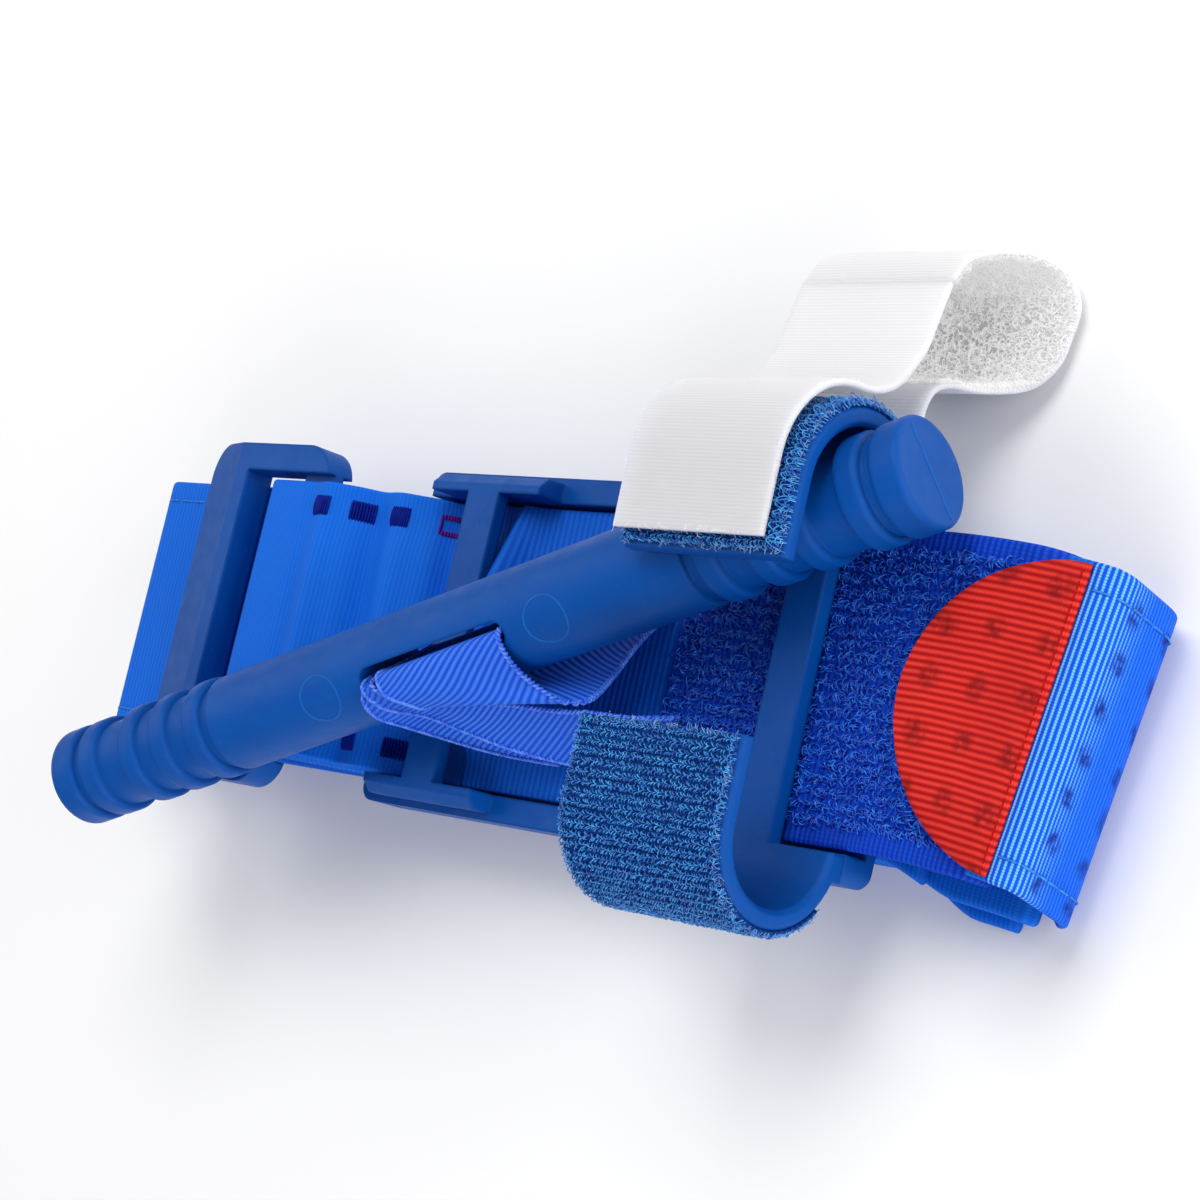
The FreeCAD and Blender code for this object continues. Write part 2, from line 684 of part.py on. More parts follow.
# ---------------------------------------------------------------- assembly
make_plate()
make_clip()
make_hook_tape("hook_tape_rear", 1, size("ArmTip") + 0.6)
make_hook_tape("hook_tape_front", -1, size("ArmTip") + 0.3)
make_time_strap()
make_rod()
make_buckle()
make_buckle_sleeve()
for position, side in (("rear", 1), ("front", -1)):
    make_bartacks(f"sleeve_bartacks_{position}", side * size("TackHalf"), TACK_X[position])
make_plate_layers()
make_ribbon_risers()
make_band_layers()
make_pile_band()
make_tail()
doc.recompute()

NODES = (
    "stabilization_plate", "windlass_clip", "windlass_rod", "buckle_frame",
    "hook_tape_rear", "hook_tape_front", "time_strap_anchor", "time_strap_tip",
    "buckle_sleeve", "sleeve_bartacks_rear", "sleeve_bartacks_front",
    "sleeve_lining", "clip_sleeve", "inner_ribbon_left", "inner_ribbon_right",
    "ribbon_riser_left", "ribbon_riser_right", "pile_band", "band_layers_upper",
    "band_edge_thread", "band_layers_lower", "tail_turn", "tail_edge_thread",
    "tail_end", "red_tab", "tab_seam_thread",
)

for thing in doc.Objects:
    faults = {"Invalid", "Error"} & set(thing.State)
    assert not faults, f"{thing.Label}: {faults}"

for node in NODES:
    shape = doc.getObjectsByLabel(node)[0].Shape
    assert not shape.isNull() and shape.isValid(), f"{node} has no valid shape"
    shape.exportStep(f"parts/{node}.step")
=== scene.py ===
import math

import bpy
import numpy as np
from mathutils import Matrix


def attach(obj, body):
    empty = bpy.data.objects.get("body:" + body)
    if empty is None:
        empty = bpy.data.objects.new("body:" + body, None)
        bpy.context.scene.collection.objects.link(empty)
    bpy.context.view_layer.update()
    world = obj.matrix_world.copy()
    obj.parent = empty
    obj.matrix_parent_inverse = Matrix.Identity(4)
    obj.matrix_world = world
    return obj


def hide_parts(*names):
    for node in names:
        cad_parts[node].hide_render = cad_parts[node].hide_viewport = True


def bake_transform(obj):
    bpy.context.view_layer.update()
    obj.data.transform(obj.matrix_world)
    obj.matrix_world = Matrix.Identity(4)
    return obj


# A folded windlass tourniquet. Lengths here are in millimetres, in the CAD's frame:
# +X along the band to the pull tab, +Y across it, +Z away from the limb.

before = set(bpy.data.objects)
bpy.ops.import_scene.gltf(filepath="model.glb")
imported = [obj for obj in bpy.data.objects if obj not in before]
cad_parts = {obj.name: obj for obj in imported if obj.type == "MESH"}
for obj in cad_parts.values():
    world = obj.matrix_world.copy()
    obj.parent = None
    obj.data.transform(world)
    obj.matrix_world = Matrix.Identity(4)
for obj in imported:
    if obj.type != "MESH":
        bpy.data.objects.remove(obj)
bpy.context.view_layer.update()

MM = 0.001
BAND_WIDTH = 38.0
THREAD_SIDES = 4
rng = np.random.default_rng(7)


# ---------------------------------------------------------------- vectors and paths
BEND_START = 58.0
BEND_RATE = 0.0062
SLIDE_RUN = 13.0


def unit(v):
    """Vectors scaled to length one."""
    v = np.asarray(v, float)
    return v / np.maximum(np.linalg.norm(v, axis=-1, keepdims=True), 1e-12)


def lengths(points):
    """Distance along a row of points, from the first."""
    steps = np.linalg.norm(np.diff(points, axis=0), axis=-1)
    return np.concatenate([[0.0], np.cumsum(steps)])


def spaced(points, step):
    """The same path with extra points, so that none are further apart than step."""
    points = np.asarray(points, float)
    filled = [points[0]]
    for a, b in zip(points, points[1:]):
        count = max(1, math.ceil(np.linalg.norm(b - a) / step))
        filled += [a + (b - a) * k / count for k in range(1, count + 1)]
    return np.array(filled)


def bent(points, radii, step=1.0):
    """Straight runs joined by tangent arcs, as points in their own plane."""
    corners = [np.array(point, float) for point in points]
    line = [corners[0]]
    for before, corner, after, radius in zip(corners, corners[1:], corners[2:], radii):
        inward, outward = unit(corner - before), unit(after - corner)
        turn = math.atan2(inward[0] * outward[1] - inward[1] * outward[0], inward @ outward)
        side = math.copysign(1.0, turn)
        left = np.array([-inward[1], inward[0]])
        centre = corner - radius * math.tan(abs(turn) / 2) * inward + side * radius * left
        count = max(3, math.ceil(radius * abs(turn) / 0.45))
        for k in range(count + 1):
            angle = turn * k / count
            spoke = inward * math.sin(abs(angle)) - side * left * math.cos(angle)
            line.append(centre + radius * spoke)
    line.append(corners[-1])
    return spaced(line, step)


def in_xz(line, y=0.0):
    """A plane path stood up along the band."""
    line = np.asarray(line)
    return np.stack([line[:, 0], np.full(len(line), y), line[:, 1]], axis=1)


def in_yz(line, x=0.0):
    """A plane path stood up across the band."""
    line = np.asarray(line)
    return np.stack([np.full(len(line), x), line[:, 0], line[:, 1]], axis=1)


def smooth(points, count):
    """A Catmull-Rom curve, or surface row by row, through the given points."""
    points = np.asarray(points, float)
    padded = np.concatenate([[2 * points[0] - points[1]], points, [2 * points[-1] - points[-2]]])
    at = np.linspace(0, len(points) - 1, count)
    i = np.minimum(at.astype(int), len(points) - 2)
    t = (at - i).reshape(-1, *[1] * (points.ndim - 1))
    a, b, c, d = (padded[i + k] for k in range(4))
    return 0.5 * (2 * b + (c - a) * t + (2 * a - 5 * b + 4 * c - d) * t**2
                  + (3 * b - a - 3 * c + d) * t**3)


def bend_aside(points, slide=0.0):
    """The band's end bears off to -Y, more and more beyond a place along it.

    Layers that have slid further out of the stack also move by slide.
    """
    past = np.clip(points[..., 0] - BEND_START, 0, None)
    angle = -BEND_RATE * past
    slid = np.clip(past / SLIDE_RUN, 0, 1)
    x = points[..., 0] - points[..., 1] * np.sin(angle)
    y = -BEND_RATE / 2 * past**2 + points[..., 1] * np.cos(angle) - slide * slid**2 * (3 - 2 * slid)
    return np.stack([x, y, points[..., 2]], axis=-1)


# ---------------------------------------------------------------- meshes
def piece(name, points, faces, material, uv=None):
    """A smooth mesh object from points in millimetres."""
    mesh = bpy.data.meshes.new(name)
    mesh.from_pydata((np.asarray(points) * MM).tolist(), [], np.asarray(faces).tolist())
    if uv is not None:
        corner_points = np.zeros(len(mesh.loops), int)
        mesh.loops.foreach_get("vertex_index", corner_points)
        layer = mesh.uv_layers.new(name="cloth")
        layer.data.foreach_set("uv", np.asarray(uv, float)[corner_points].ravel())
    mesh.materials.append(material)
    mesh.shade_smooth()
    made = bpy.data.objects.new(name, mesh)
    bpy.context.scene.collection.objects.link(made)
    return made


def grid_faces(rows, columns, start=0):
    """Quads between the points of a grid, whose first point has the index start."""
    corner = start + (np.arange(rows - 1)[:, None] * columns + np.arange(columns - 1)).ravel()
    return np.stack([corner, corner + 1, corner + columns + 1, corner + columns], axis=1)


def rim_faces(rows, columns):
    """Faces that join the edges of an upper and a lower grid."""
    top = np.arange(rows * columns).reshape(rows, columns)
    ring = np.concatenate([top[0, :], top[1:, -1], top[-1, -2::-1], top[-2:0:-1, 0]])
    after = np.roll(ring, -1)
    return np.stack([after, ring, ring + rows * columns, after + rows * columns], axis=1)


def cloth(name, middle, thick, material, skew=0.0):
    """A closed sheet about a grid of points, whose rows run along the cloth.

    Its UV map holds millimetres along and across; skew slants the ribs. Returns the object and
    its upper face.
    """
    rows, columns = middle.shape[:2]
    along = unit(np.gradient(middle, axis=0))
    facing = unit(np.cross(along, np.gradient(middle, axis=1)))
    u = np.mean([lengths(middle[:, j]) for j in range(0, columns, 4)], axis=0)
    v = np.mean([lengths(middle[i]) for i in range(0, rows, 4)], axis=0)
    v = v - v[-1] / 2
    past = np.clip((np.abs(v) - (v[-1] - thick / 2)) / (thick / 2), 0, 1)
    fat = thick / 2 * np.sqrt(1 - 0.9 * past**2)
    top = middle + facing * fat[None, :, None]
    under = middle - facing * fat[None, :, None]
    points = np.concatenate([top.reshape(-1, 3), under.reshape(-1, 3)])
    faces = np.concatenate([grid_faces(rows, columns)[:, ::-1],
                            grid_faces(rows, columns, rows * columns),
                            rim_faces(rows, columns)[:, ::-1]])
    uv = np.stack(np.meshgrid(u, v, indexing="ij"), axis=-1).reshape(-1, 2)
    uv[:, 0] += skew * uv[:, 1]
    made = piece(name, points, faces[:, ::-1], material, np.concatenate([uv, uv]))
    return made, {"top": top, "facing": facing, "along": along, "u": u, "v": v}


def columns_across(width, thick, count):
    """Positions across a strip, closer together at its rounded edges."""
    edge = width / 2
    rounding = [edge, edge - 0.1 * thick, edge - 0.3 * thick, edge - 0.6 * thick]
    inner = np.linspace(-rounding[-1], rounding[-1], count)[1:-1]
    return np.concatenate([-np.array(rounding), inner, np.array(rounding[::-1])])


def strip_grid(line, across, width, thick, relief=None, count=26):
    """The grid of a strip along a line. relief(along, across) lifts it off the line."""
    across = np.broadcast_to(np.asarray(across, float), line.shape)
    facing = unit(np.cross(unit(np.gradient(line, axis=0)), across))
    y = columns_across(width, thick, count)
    grid = line[:, None] + across[:, None] * y[None, :, None]
    if relief is not None:
        grid = grid + facing[:, None] * relief(lengths(line)[:, None], y[None, :])[..., None]
    return grid


def area_of(grid):
    """A grid's area in square metres."""
    one, other = grid[1:, 1:] - grid[:-1, :-1], grid[1:, :-1] - grid[:-1, 1:]
    return float(np.linalg.norm(np.cross(one, other), axis=-1).sum() / 2 * MM**2)


def on_surface(surface, u, v):
    """Points, normals and cloth directions of a surface at the given millimetres."""
    i = np.interp(u, surface["u"], np.arange(len(surface["u"])))
    j = np.interp(v, surface["v"], np.arange(len(surface["v"])))
    i0 = np.minimum(i.astype(int), len(surface["u"]) - 2)
    j0 = np.minimum(j.astype(int), len(surface["v"]) - 2)
    a, b = (i - i0)[:, None], (j - j0)[:, None]
    found = []
    for key in ("top", "facing", "along"):
        g = surface[key]
        found.append((1 - a) * (1 - b) * g[i0, j0] + a * (1 - b) * g[i0 + 1, j0]
                     + (1 - a) * b * g[i0, j0 + 1] + a * b * g[i0 + 1, j0 + 1])
    return found[0], unit(found[1]), unit(found[2])


def arcs(name, feet, forward, up, half_length, height, thick, material, sweep=(0, 180), steps=6):
    """Many thin half-loops of thread: each starts and ends beside its foot.

    Sweep is the part of an ellipse that the thread follows, in degrees.
    """
    count = len(feet)
    forward, up = unit(forward), unit(up)
    sideways = np.cross(forward, up)
    around = np.linspace(0, 2 * np.pi, THREAD_SIDES, endpoint=False)
    bend = np.radians(np.linspace(*sweep, steps))
    half_length, height, thick = (np.broadcast_to(np.asarray(x, float), (count,))[:, None, None, None]
                                  for x in (half_length, height, thick))
    e, n, b = (x[:, None, None, :] for x in (forward, up, sideways))
    c, s = np.cos(bend)[None, :, None, None], np.sin(bend)[None, :, None, None]
    radial = e * c + n * s
    ring_c, ring_s = np.cos(around)[None, None, :, None], np.sin(around)[None, None, :, None]
    points = feet[:, None, None, :] + e * half_length * c + n * height * s \
        + thick / 2 * (radial * ring_c + b * ring_s)
    per_arc = steps * THREAD_SIDES
    one = []
    for k in range(steps - 1):
        for m in range(THREAD_SIDES):
            here = k * THREAD_SIDES + m
            beside = k * THREAD_SIDES + (m + 1) % THREAD_SIDES
            one.append([here, here + THREAD_SIDES, beside + THREAD_SIDES, beside])
    one += [[0, 1, 2, 3], [per_arc - 1, per_arc - 2, per_arc - 3, per_arc - 4]]
    faces = (np.array(one)[None] + (np.arange(count) * per_arc)[:, None, None]).reshape(-1, 4)
    return piece(name, points.reshape(-1, 3), faces, material)


def random_on(surface, count, u_range, v_range):
    """Random places on a surface."""
    return on_surface(surface, rng.uniform(*u_range, count), rng.uniform(*v_range, count))


def leaning(normals, amount):
    """Normals tipped by random amounts."""
    return unit(normals + amount * rng.normal(size=normals.shape))


def spun(normals):
    """A random direction along the surface for each normal."""
    return unit(np.cross(normals, rng.normal(size=normals.shape)))


def settle(obj, slot, *stands_for, body="band"):
    """Give a finished piece its body and hide the CAD nodes it stands for; slot is not used."""
    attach(obj, body)
    if stands_for:
        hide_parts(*stands_for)
    return obj


def settle_bending(obj, slot, child, start, end, *stands_for):
    """Bake a piece's placement into its mesh and hide the CAD nodes it stands for; slot, child, start and
    end are not used.
    """
    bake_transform(obj)
    if stands_for:
        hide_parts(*stands_for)
    return obj


# ---------------------------------------------------------------- materials
def srgb(red, green, blue):
    """A display colour, 0 to 255, as linear RGBA."""
    return (*[(c / 255 / 12.92 if c <= 10 else ((c / 255 + 0.055) / 1.055) ** 2.4)
              for c in (red, green, blue)], 1.0)


class Shader:
    """A material under construction."""

    def __init__(self, name, roughness, specular=0.5, sheen=0.0, sheen_tint=(255, 255, 255)):
        self.material = bpy.data.materials.new(name)
        self.material.use_nodes = True
        self.tree = self.material.node_tree
        self.out = self.tree.nodes["Principled BSDF"]
        self.out.inputs["Roughness"].default_value = roughness
        self.out.inputs["Specular IOR Level"].default_value = specular
        self.out.inputs["Sheen Weight"].default_value = sheen
        self.out.inputs["Sheen Roughness"].default_value = 0.4
        self.out.inputs["Sheen Tint"].default_value = srgb(*sheen_tint)

    def node(self, kind, sockets=None, **settings):
        """A shader node with its sockets linked to other sockets, or set to plain values."""
        made = self.tree.nodes.new("ShaderNode" + kind)
        for key, value in settings.items():
            setattr(made, key, value)
        for key, value in (sockets or {}).items():
            if isinstance(value, bpy.types.NodeSocket):
                self.tree.links.new(value, made.inputs[key])
            else:
                made.inputs[key].default_value = value
        return made

    def link(self, socket, name):
        """Drive one input of the material."""
        self.tree.links.new(socket, self.out.inputs[name])

    def object_mm(self):
        """Position in the row frame, in millimetres."""
        place = self.node("TexCoord").outputs["Object"]
        per_metre = (1 / MM, 1 / MM, 1 / MM)
        return self.node("VectorMath", {0: place, 1: per_metre}, operation="MULTIPLY").outputs[0]

    def cloth_mm(self):
        """Millimetres along and across the cloth."""
        return self.node("UVMap", uv_map="cloth").outputs[0]

    def noise(self, vector, size, detail=2.0, roughness=0.5):
        """Noise from 0 to 1 whose blobs are about size millimetres."""
        made = self.node("TexNoise", {"Vector": vector, "Scale": 1 / size, "Detail": detail,
                                      "Roughness": roughness})
        return made.outputs["Fac"]

    def bands(self, vector, pitch, axis="X", wobble=0.0, wobble_size=3.0):
        """Soft stripes from 0 to 1 across an axis, pitch millimetres apart."""
        scale = math.pi / 10 / pitch
        made = self.node("TexWave", {"Vector": vector, "Scale": scale, "Distortion": wobble,
                                     "Detail": 1.0, "Detail Scale": 1 / scale / wobble_size},
                         wave_type="BANDS", bands_direction=axis, wave_profile="SIN")
        return made.outputs["Fac"]

    def math(self, operation, a, b=0.0, clamp=False):
        """Arithmetic on two values."""
        return self.node("Math", {0: a, 1: b}, operation=operation, use_clamp=clamp).outputs[0]

    def remap(self, value, low, high, to_low=0.0, to_high=1.0):
        """A value carried from one range to another, and held at its ends."""
        made = self.node("MapRange", {"Value": value, "From Min": low, "From Max": high,
                                      "To Min": to_low, "To Max": to_high})
        return made.outputs[0]

    def mix(self, factor, a, b):
        """A colour between a and b."""
        made = self.node("Mix", {"Factor": factor}, data_type="RGBA")
        for socket, value in ((6, a), (7, b)):
            if isinstance(value, bpy.types.NodeSocket):
                self.tree.links.new(value, made.inputs[socket])
            else:
                made.inputs[socket].default_value = value
        return made.outputs[2]

    def bump(self, height, depth, strength=1.0, normal=None):
        """Relief of a depth in millimetres."""
        sockets = {"Height": height, "Distance": depth * MM, "Strength": strength}
        if normal is not None:
            sockets["Normal"] = normal
        return self.node("Bump", sockets).outputs[0]


def plastic(name, colour, shade):
    """Satin moulded nylon with soft edges, a fine grain and faint scuffs."""
    s = Shader(name, 0.42, specular=0.14)
    place = s.object_mm()
    cloud = s.noise(place, 9.0, 3.0)
    scuff = s.remap(s.noise(place, 1.4, 5.0, 0.7), 0.62, 0.8)
    s.link(s.mix(s.math("MULTIPLY", scuff, 0.25), s.mix(cloud, srgb(*shade), srgb(*colour)),
                 srgb(70, 130, 200)), "Base Color")
    s.link(s.remap(s.noise(place, 2.5, 4.0), 0.3, 0.7, 0.4, 0.55), "Roughness")
    rounded = s.node("Bevel", {"Radius": 0.7 * MM}, samples=4).outputs[0]
    s.link(s.bump(s.noise(place, 0.35, 2.0), 0.012, 0.6, s.bump(cloud, 0.05, 0.3, rounded)), "Normal")
    return s


def webbing(name, rib_colour, groove_colour, pitch, rib_axis="X", thread=0.34, depth=0.1, sheen=0.3,
            contrast=1.0, sheen_tint=(120, 170, 255), roughness=0.7):
    """Ribbed cloth: ribs across one direction, and the threads that cross them."""
    s = Shader(name, roughness, specular=0.16, sheen=sheen * 0.2, sheen_tint=sheen_tint)
    place = s.cloth_mm()
    cross_axis = "Y" if rib_axis == "X" else "X"
    ribs = s.bands(place, pitch, rib_axis, wobble=0.5, wobble_size=4.0)
    threads = s.bands(place, thread, cross_axis, wobble=0.6, wobble_size=2.0)
    weave = s.math("MULTIPLY", ribs, s.remap(threads, 0, 1, 0.65, 1.0))
    fade = s.remap(s.noise(place, 12.0, 3.0), 0.3, 0.7, 0.75, 1.0)
    level = s.math("MULTIPLY", s.remap(weave, 0.0, 1.0, 1.0 - contrast, 1.0), fade, clamp=True)
    colour = s.mix(level, srgb(*groove_colour), srgb(*rib_colour))
    s.link(colour, "Base Color")
    s.link(s.bump(weave, depth, 0.8, s.bump(s.noise(place, 0.18, 2.0), 0.03, 0.5)), "Normal")
    s.weave, s.place, s.colour = weave, place, colour
    return s


def fibre(name, colour, bright, roughness=0.45, specular=0.5):
    """Loose threads, lighter here and there. On the pile loops and the hook filaments the lighter patches
    are painted highlights.
    """
    s = Shader(name, roughness, specular=specular)
    patchy = s.remap(s.noise(s.object_mm(), 0.8, 2.0), 0.35, 0.75)
    s.link(s.mix(patchy, srgb(*colour), srgb(*bright)), "Base Color")
    grain = s.noise(s.object_mm(), 0.3, 1.0)
    s.link(s.remap(grain, 0.3, 0.7, roughness - 0.12, roughness + 0.12), "Roughness")
    return s


def translucent(s, glow=0.0):
    """Let light through thin white cloth. The glow stands for light scattered within its nap."""
    s.out.inputs["Emission Color"].default_value = (1.0, 1.0, 1.0, 1.0)
    s.out.inputs["Emission Strength"].default_value = glow
    s.out.inputs["Subsurface Weight"].default_value = 0.8
    s.out.inputs["Subsurface Radius"].default_value = (1.0, 1.0, 1.0)
    s.out.inputs["Subsurface Scale"].default_value = 6 * MM
    return s.material


def spotted(s, colour, period, size, spot_colour, strength):
    """Add faint dark marks in an uneven grid, as where stitches press through."""
    jitter = s.node("TexNoise", {"Vector": s.place, "Scale": 0.11, "Detail": 1.0}).outputs["Color"]
    moved = s.node("VectorMath", {0: jitter, 1: (3.0, 3.0, 0.0)}, operation="MULTIPLY").outputs[0]
    moved = s.node("VectorMath", {0: s.place, 1: moved}, operation="ADD").outputs[0]
    far = (100.0 * period[0], 100.0 * period[1], 0.0)
    moved = s.node("VectorMath", {0: moved, 1: far}, operation="ADD").outputs[0]
    cell = s.node("VectorMath", {0: moved, 1: (*period, 1.0)}, operation="MODULO").outputs[0]
    centre = tuple(p / 2 for p in period)
    away = s.node("VectorMath", {0: cell, 1: (*centre, 0.0)}, operation="DISTANCE").outputs["Value"]
    mark = s.remap(away, size * 0.4, size, strength, 0.0)
    patchy = s.remap(s.noise(s.place, 1.2, 3.0), 0.3, 0.6)
    s.link(s.mix(s.math("MULTIPLY", mark, patchy), colour, srgb(*spot_colour)), "Base Color")


PLASTIC = plastic("moulded_nylon", (0, 80, 164), (0, 68, 148)).material
MARK = fibre("mould_mark", (8, 86, 168), (14, 94, 176), 0.5, 0.12).material
SLEEVE = webbing("sleeve_weave", (0, 112, 226), (0, 88, 205), 0.62, thread=0.3, depth=0.05,
                 contrast=0.7, sheen=0.35).material
SLEEVE_RIBBED = webbing("sleeve_ribbed", (4, 112, 226), (0, 78, 190), 1.0, thread=0.3,
                        depth=0.1).material
BAND = webbing("band_weave", (0, 112, 226), (0, 84, 200), 0.8, thread=0.4, depth=0.07,
               contrast=0.8).material
RIBBON = webbing("ribbon_grosgrain", (74, 142, 244), (2, 66, 205), 0.85, thread=0.3, depth=0.2,
                 sheen=0.2, roughness=0.5).material
PILE_BASE = webbing("pile_ground", (10, 84, 222), (0, 46, 170), 0.8, thread=0.5,
                    depth=0.1).material
# Pile loops: the lighter blue patches are painted highlight specks.
PILE = fibre("pile_loops", (0, 48, 178), (26, 124, 242), 0.28, 0.5).material
HOOK_BASE = webbing("hook_ground", (0, 66, 146), (0, 36, 98), 0.9, thread=0.45, depth=0.12).material
# Hook filaments: the pale cyan patches are painted highlights, standing in for glints on the hooks.
HOOKS = fibre("hook_filament", (0, 72, 170), (66, 178, 248), 0.28, 0.7).material
WHITE = translucent(webbing("white_back", (238, 238, 240), (228, 227, 232), 0.45, thread=0.4,
                            depth=0.014, sheen=0.1, sheen_tint=(255, 255, 255), roughness=0.8))
WHITE_NAP = translucent(fibre("white_nap", (240, 239, 236), (248, 248, 247), 0.8, 0.1),
                        glow=0.16)
PALE_FIBRE = fibre("pale_fibre", (70, 140, 210), (185, 212, 238), 0.5).material
TACK = fibre("tack_thread", (0, 20, 118), (0, 34, 150), 0.6, 0.1).material
TACK_RED = fibre("tack_thread_red", (60, 30, 150), (150, 30, 110), 0.6, 0.1).material
RIBBON_EDGE = fibre("ribbon_edge_thread", (30, 92, 222), (105, 155, 245), 0.5).material
EDGE_THREAD = fibre("edge_thread", (0, 96, 190), (40, 150, 230), 0.5).material


def tail_material():
    """Blue ribs with a painted highlight on their crests, fading away from the tab."""
    s = webbing("tail_weave", (8, 116, 230), (0, 72, 205), 0.62, thread=0.34, depth=0.1, sheen=0.2)
    along = s.node("SeparateXYZ", {0: s.place}).outputs[0]
    # Painted highlight: the rib crests near the tab are coloured pale, as where they catch the light.
    near = s.remap(along, 14.0, 19.5, 0.05, 0.9)
    highlight_on_crest = s.remap(s.weave, 0.4, 0.75, 0.0, 0.9)
    pale = s.mix(s.math("MULTIPLY", highlight_on_crest, near), s.colour, srgb(120, 195, 246))
    spotted(s, pale, (7.4, 5.2), 1.7, (0, 44, 140), 1.0)
    return s.material


def red_material():
    """Red ribs that run along the band, with faint dark marks."""
    s = webbing("red_ribs", (252, 66, 54), (165, 0, 2), 0.85, rib_axis="Y", thread=0.34,
                depth=0.16, sheen=0.15, sheen_tint=(255, 190, 180))
    spotted(s, s.colour, (7.2, 6.6), 2.0, (120, 8, 14), 0.75)
    return s.material


TAIL = tail_material()
RED = red_material()


# ---------------------------------------------------------------- rigid pieces
def dress_plastic():
    """The moulded parts keep their CAD shape."""
    for node in ("stabilization_plate", "windlass_clip", "buckle_frame", "windlass_rod"):
        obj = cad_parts[node]
        obj.data.materials.clear()
        obj.data.materials.append(PLASTIC)


# ---------------------------------------------------------------- folded band
FIRST = 7.3    # middle height of the top layer under the plate
PITCH = 2.1    # from one layer to the next
RISE = 7.6     # how much higher the layers lie beside the buckle
LAYER = 1.5


def soft_wave(size, amount, phase=0.0):
    """A gentle unevenness along and across a strip."""
    def lift(u, v):
        long_wave = 0.6 * np.sin(u / size + phase + 0.03 * v)
        short_wave = 0.4 * np.sin(u / size * 2.3 + 1.7 * phase - 0.05 * v)
        return amount * (long_wave + short_wave)
    return lift


def make_band_layers():
    """The long band, folded back and forth under the plate."""
    second, third = FIRST - PITCH, FIRST - 2 * PITCH
    upper = [(66, FIRST), (-27, FIRST), (-50, FIRST + RISE), (-84.4, FIRST + RISE), (-84.4, second + RISE),
             (-50.5, second + RISE), (-27.5, second), (81.2, second), (81.2, third), (60, third)]
    line = in_xz(bent(upper, [6, 6, 1.05, 1.05, 6, 6, 1.05, 1.05], 1.5))
    grid = bend_aside(strip_grid(line, (0, -1, 0), BAND_WIDTH, LAYER, soft_wave(9, 0.1)), 2.6)
    top, face = cloth("band_upper_layers", grid, LAYER, BAND)
    settle(top, "band_webbing", "band_layers_upper")
    lower = [(60, third), (-28, third), (-51, third + RISE), (-84, third + RISE), (-84, 1.0), (77, 1.0)]
    line = in_xz(bent(lower, [6, 6, 4.85, 4.85], 1.5))
    grid = bend_aside(strip_grid(line, (0, -1, 0), BAND_WIDTH, LAYER, soft_wave(11, 0.08, 1.0)), 4.0)
    under, _ = cloth("band_lower_layers", grid, LAYER, BAND)
    settle(under, "band_webbing", "band_layers_lower")
    thread = stitch_line("band_edge_stitches", face, 117, 153, (-16, 16))
    settle(thread, "edge_thread", "band_edge_thread")


def stitch_line(name, surface, start, end, across, length=2.6):
    """Lines of stitches along a surface, at the given places across it."""
    feet, forward, up = [], [], []
    for v in across:
        u = np.arange(start, end, length * 1.15)
        point, normal, along = on_surface(surface, u, np.full(len(u), float(v)))
        feet.append(point)
        forward.append(along)
        up.append(normal)
    feet, forward, up = (np.concatenate(x) for x in (feet, forward, up))
    return arcs(name, feet - 0.06 * up, forward, up, length / 2, 0.2, 0.3, EDGE_THREAD, steps=7)


# ---------------------------------------------------------------- pile band
PILE_ROW = 1.6


def make_pile_band():
    """Loop pile under the clip's bar; its bare edges show the ground weave."""
    near, far = 12.3, 13.6
    path = [(24.0, near), (51, near), (62, far), (77.6, far), (77.6, FIRST), (66, FIRST)]
    bend = (far - FIRST) / 2
    line = in_xz(bent(path, [6, 6, bend, bend], 1.0))
    grid = bend_aside(strip_grid(line, (0, 1, 0), BAND_WIDTH, 1.0, soft_wave(7, 0.12)))
    ground, face = cloth("pile_ground", grid, 1.0, PILE_BASE)
    settle(ground, "loop_pile", "pile_band")
    count = 7600
    v = PILE_ROW * rng.integers(-10, 11, count) + rng.normal(0, 0.22, count)
    feet, normal, _ = on_surface(face, rng.uniform(0.5, 56, count), np.clip(v, -16.6, 16.6))
    size = rng.uniform(0.32, 0.72, count)
    loops = arcs("pile_loops", feet - 0.1 * normal, spun(normal), leaning(normal, 0.45), size,
                 size * rng.uniform(0.9, 1.5, count), 0.22, PILE, (-30, 210), steps=7)
    settle(loops, "loop_pile")


# ---------------------------------------------------------------- sleeve
TACK_Y = 15.6
TACK_HALF = 1.35


